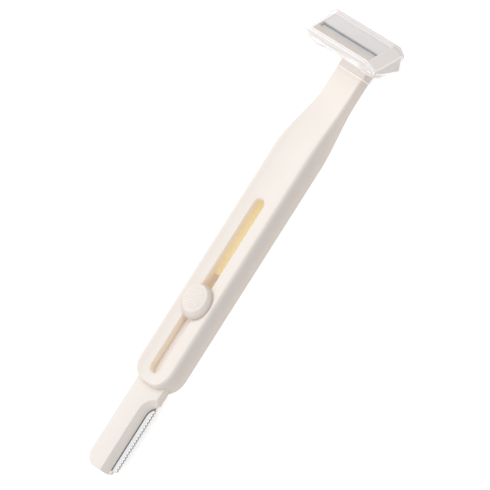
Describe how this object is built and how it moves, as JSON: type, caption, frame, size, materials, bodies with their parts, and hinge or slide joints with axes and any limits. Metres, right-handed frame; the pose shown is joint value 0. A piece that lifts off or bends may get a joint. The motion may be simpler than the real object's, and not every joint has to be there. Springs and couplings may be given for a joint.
{
  "type": "eyebrow razor",
  "caption": "Two-ended beauty razor: straight eyebrow blade that slides out by a thumb knob, and a tilted T-shaped face razor head under a clear pull-off cap.",
  "frame": {"origin": "on the flat back of the handle, under the middle of the thumb slot", "axes": "+X across the handle towards the eyebrow blade's edge, +Y along the handle towards the T-shaped head, +Z out of the slotted face"},
  "size_m": [0.0342, 0.1502, 0.0149],
  "materials": {
    "ivory_plastic": "moulded, satin gloss",
    "white_plastic": "moulded, satin gloss",
    "cover_plastic": "moulded, satin gloss",
    "knob_plastic": "moulded, ribbed",
    "carrier_plastic": "moulded, satin gloss",
    "clamp_plastic": "moulded, satin gloss",
    "guard_elastomer": "moulded, fine grooves",
    "blade_steel": "ground and honed",
    "head_blade_steel": "ground and honed",
    "comb_steel": "stamped",
    "rivet_steel": "headed",
    "clear_plastic": "moulded clear, polished"
  },
  "bodies": {
    "handle": {"handle_shell": "ivory_plastic", "back_cover": "cover_plastic", "head_base": "white_plastic", "cover_plate": "white_plastic", "head_blade": "head_blade_steel", "guard_strip": "guard_elastomer"},
    "slider": {"blade_carrier": "carrier_plastic", "blade_clamp": "clamp_plastic", "blade_rivets": "rivet_steel", "eyebrow_blade": "blade_steel", "guard_comb": "comb_steel", "thumb_knob": "knob_plastic"},
    "cap": {"head_cap": "clear_plastic"}
  },
  "joints": [
    {"name": "blade_slide", "type": "slide", "parent": "handle", "child": "slider", "axis": [0, 1, 0], "range_m": [-0.0229, 0.0327]},
    {"name": "cap_pull", "type": "slide", "parent": "handle", "child": "cap", "axis": [0, 0, 1], "range_m": [0, 0.014]}
  ]
}
